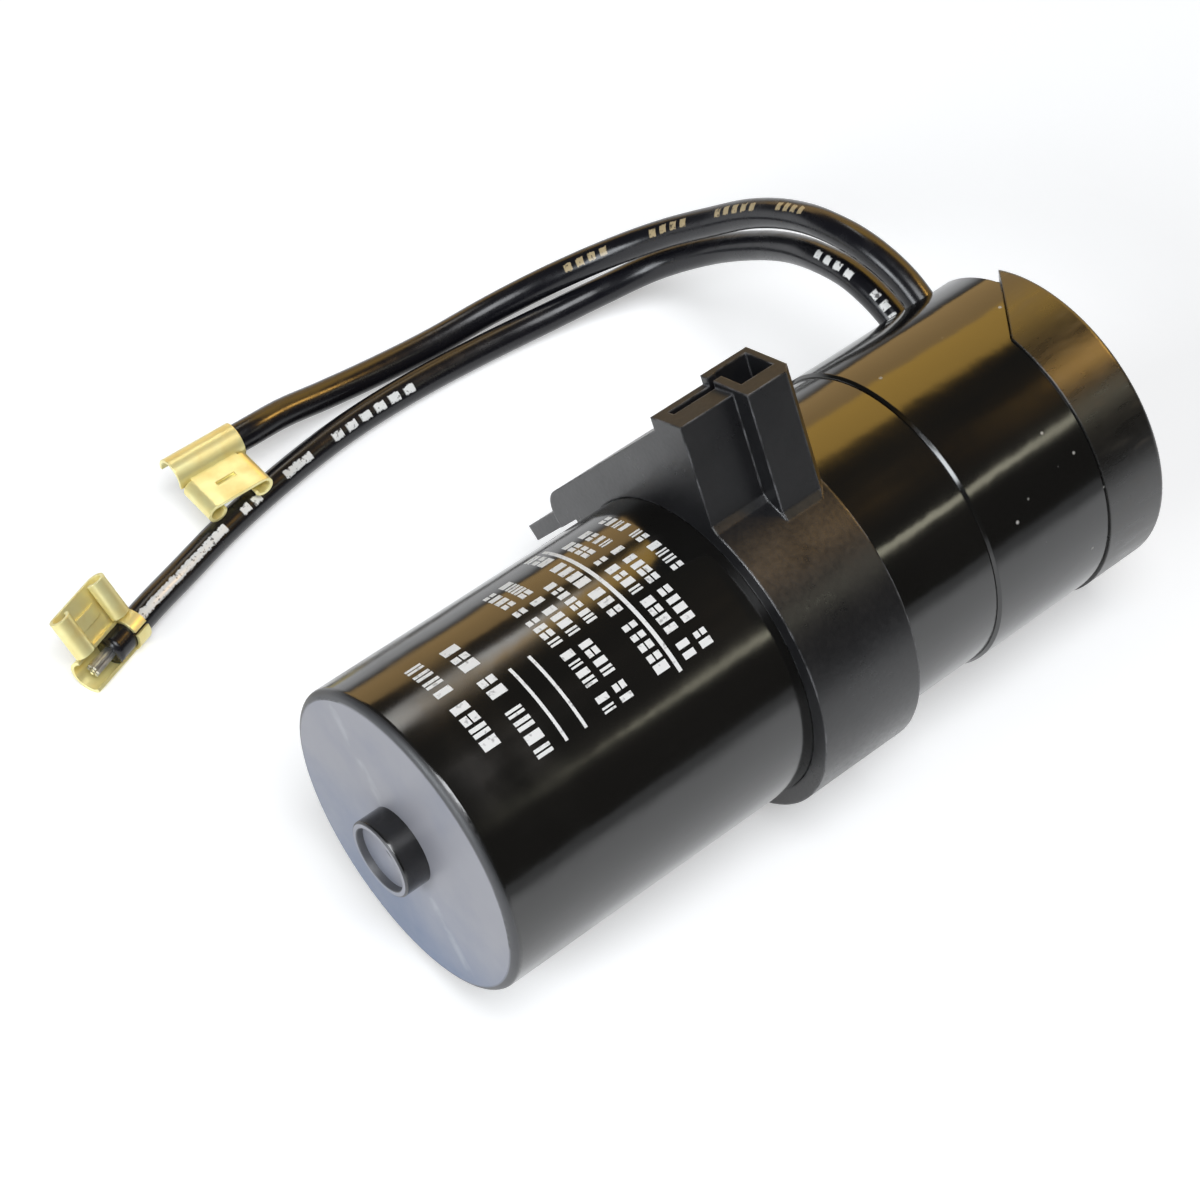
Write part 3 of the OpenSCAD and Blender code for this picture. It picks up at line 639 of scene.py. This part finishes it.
def lead_skin(name, ink, rows):
    """Black PVC with worn rows of printed marks. Each row is where it starts and ends along the
    lead in millimetres, the pitch of its marks, the share of it they fill, and its middle as a
    share of the way round."""
    finish, tree, shader, place = start_finish(name)
    unrolled = tree.nodes["Texture Coordinate"].outputs["UV"]
    on_lead = add(tree, "SeparateXYZ", {"Vector": unrolled}).outputs
    run = sums(tree, "MULTIPLY", on_lead["Y"], 1 / MM)
    skin = grain(tree, place, 500, 3)
    worn = grain(tree, place, 2000, 3)
    fray = 0.06
    frayed = sums(tree, "MULTIPLY_ADD", worn, fray, on_lead["X"])
    marks = 0
    for first, last, pitch, share, middle in rows:
        off = sums(tree, "ABSOLUTE", sums(tree, "SUBTRACT", frayed, middle + fray / 2))
        step = sums(tree, "DIVIDE", sums(tree, "SUBTRACT", run, first), pitch)
        row = times(
            tree,
            spread(tree, off, 0.040, 0.052, 1, 0),
            spread(tree, sums(tree, "FRACT", step), share - 0.04, share + 0.04, 1, 0),
            spread(tree, run, first, first + 0.1, 0, 1),
            spread(tree, run, last - 0.1, last, 1, 0),
            spread(tree, worn, 0.32, 0.42, 0.2, 1),
        )
        marks = sums(tree, "ADD", marks, row)
    feed(
        tree,
        shader,
        base_color=blend(tree, marks, PVC_BLACK, ink),
        roughness=spread(tree, skin, 0.3, 0.7, 0.20, 0.30),
        ior=1.5,
        normal=bump(tree, skin, 0.006 * MM),
    )
    return finish


def strand_bundle(name, place, heading, roll):
    """Seven tinned strands, one amid six, that run on from the end of the insulation. Each is a
    six-sided rod of radius 0.26 mm whose middle drifts out by a sixth on its way, with its ends
    closed."""
    sides, rings = 6, 5
    turn = np.radians(np.arange(sides) * 60.0)
    hexagon = np.stack([np.cos(turn), np.sin(turn)], axis=1)
    middle = np.concatenate([[(0, 0)], 0.54 * hexagon])
    count = len(middle)
    along = np.linspace(-0.1, -3.4, rings)
    drift = 1 + (along[0] - along) / 20
    flat = middle[:, None, None] * drift[None, :, None, None] + 0.26 * hexagon
    x = np.broadcast_to(along[None, :, None], flat.shape[:3])
    points = on_barrel(x, flat[..., 0], flat[..., 1], place, heading, roll)
    steps = np.arange(count), np.arange(rings - 1), np.arange(sides)
    strand, row, column = np.meshgrid(*steps, indexing="ij")
    here, after = (strand * rings + row) * sides, (column + 1) % sides
    ahead = here + sides
    walls = np.stack([here + column, ahead + column, ahead + after, here + after], axis=-1)
    start_caps = rings * sides * np.arange(count)[:, None] + np.arange(sides)
    end_caps = start_caps[:, ::-1] + (rings - 1) * sides
    faces = walls.reshape(-1, 4).tolist() + start_caps.tolist() + end_caps.tolist()
    made = new_piece(name, points.tolist(), faces)
    made.data.materials.append(tin_finish)
    return made


lead_a_skin = lead_skin(
    "lead_a_pvc",
    PRINT_TAN,
    [
        (41, 46.6, 1.4, 0.6, 0.33), (50, 58, 1.6, 0.6, 0.35), (62.5, 69.3, 1.7, 0.6, 0.36),
        (75, 81.8, 1.7, 0.6, 0.34),
    ],
)
lead_b_skin = lead_skin(
    "lead_b_pvc",
    PRINT_WHITE,
    [
        (23, 27.8, 1.6, 0.6, 0.33), (30, 36.8, 1.7, 0.6, 0.36), (102, 115.2, 2.2, 0.68, 0.36),
        (118, 122.5, 9, 0.9, 0.35), (126.5, 130.3, 1.9, 0.7, 0.34), (132.5, 149, 40, 1.1, 0.33),
    ],
)

for letter, route, skin, place, heading, roll, catch in (
    ("a", route_a, lead_a_skin, barrel_a, heading_a, roll_a, catch_a),
    ("b", route_b, lead_b_skin, barrel_b, heading_b, roll_b, catch_b),
):
    path, length = sweep_path(route, lead_rings)
    lead = lead_tube("lead_" + letter + "_wire", path, length)
    lead.data.materials.append(skin)
    strands = strand_bundle("strands_" + letter, place, heading, roll)
    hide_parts("lead_" + letter)
    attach(lead, "root")
    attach(strands, "root")


# Table, lamps and camera. A white table that turns to pale grey out of view, a cool soft key
# overhead and a fill at the closed end. Warm cards gild the can's upper side and its lid, a white
# one the receptacles, and a narrow strip draws the line of light along the can.

reach = 3.0
TABLE_GREY = (0.45, 0.45, 0.45, 1)
TABLE_WHITE = (0.82, 0.82, 0.82, 1)
table_glow = 0.40
corners = [(-reach, -reach, 0), (reach, -reach, 0), (reach, reach, 0), (-reach, reach, 0)]
table = new_piece("table", corners, [(0, 1, 2, 3)])
table_finish, tree, shader, place = start_finish("table_white")
near = spread(tree, vectors(tree, "LENGTH", place), 0.17, 0.45, 1, 0)
this_side = add(tree, "SeparateXYZ", {"Vector": place}).outputs["Y"]
near = times(tree, near, spread(tree, this_side, -0.19, -0.105, 0, 1))
ray = add(tree, "LightPath", {}).outputs
seen = sums(tree, "MAXIMUM", ray["Is Camera Ray"], ray["Is Glossy Ray"])
seen = sums(tree, "MAXIMUM", seen, ray["Is Transmission Ray"])
feed(
    tree,
    shader,
    base_color=blend(tree, near, TABLE_GREY, TABLE_WHITE),
    roughness=0.9,
    specular_ior_level=0.0,
    emission_color=(1, 1, 1, 1),
    emission_strength=times(tree, seen, near, table_glow),
)
table.data.materials.append(table_finish)


def lamp(name, place, aim, size, power, colour, diffuse=True):
    """Area lamp of that size in metres, at place and facing aim. One that isn't diffuse shows in
    reflections alone."""
    data = bpy.data.lights.new(name, "AREA")
    data.shape = "RECTANGLE"
    data.size, data.size_y = size
    data.energy = power
    data.color = colour
    made = bpy.data.objects.new(name, data)
    bpy.context.scene.collection.objects.link(made)
    away = np.asarray(place, float) - np.asarray(aim, float)
    lean = np.arctan2(np.hypot(away[0], away[1]), away[2])
    made.location = place
    made.rotation_euler = (lean, 0, np.arctan2(away[1], away[0]) + np.pi / 2)
    made.visible_diffuse = diffuse


middle = (0, 0, 0.02)
lamp("key", (-0.20, -0.62, 1.6), middle, (0.9, 0.9), power=20, colour=(0.95, 0.97, 1.0))
lamp("front_fill", (-0.90, -0.02, 0.40), middle, (0.62, 0.35), power=6.5, colour=(0.92, 0.96, 1.0))
lamp(
    "warm_card", (0.762, 0.337, 0.70), (0.142, -0.173, 0.70), (1.05, 0.54),
    power=4.35, colour=(1.0, 0.60, 0.12), diffuse=False,
)
lamp(
    "warm_low", (0.604, 0.529, 0.23), (-0.016, 0.019, 0.23), (1.55, 0.40),
    power=2.7, colour=(1.0, 0.64, 0.25), diffuse=False,
)
lamp(
    "warm_end", (0.72, -0.18, 0.69), middle, (0.20, 0.20),
    power=3.2, colour=(1.0, 0.56, 0.13), diffuse=False,
)
lamp(
    "brass_card", (0.257, 0.558, 0.68), (-0.03, 0.06, 0.005), (0.10, 0.30),
    power=0.32, colour=(1.0, 1.0, 0.97), diffuse=False,
)
lamp(
    "strip", (0.48, -0.56, 0.56), middle, (0.36, 0.06),
    power=0.22, colour=(1.0, 0.97, 0.74), diffuse=False,
)

world = bpy.data.worlds.new("room")
bpy.context.scene.world = world
world.use_nodes = True
room = world.node_tree.nodes["Background"].inputs
room["Color"].default_value = (0.16, 0.155, 0.14, 1)
room["Strength"].default_value = 0.3

look_down, look_round = 50.657, -40.273
camera_data = bpy.data.cameras.new("camera")
camera_data.sensor_width = 36
camera_data.lens = 96.36
camera_data.clip_start = 0.01
camera = bpy.data.objects.new("camera", camera_data)
bpy.context.scene.collection.objects.link(camera)
camera.location = (-0.14682, axis_y - 0.1519387, 0.28034)
camera.rotation_euler = (radians(90 - look_down), 0, radians(look_round))
bpy.context.scene.camera = camera
bpy.context.scene.view_settings.view_transform = "Standard"
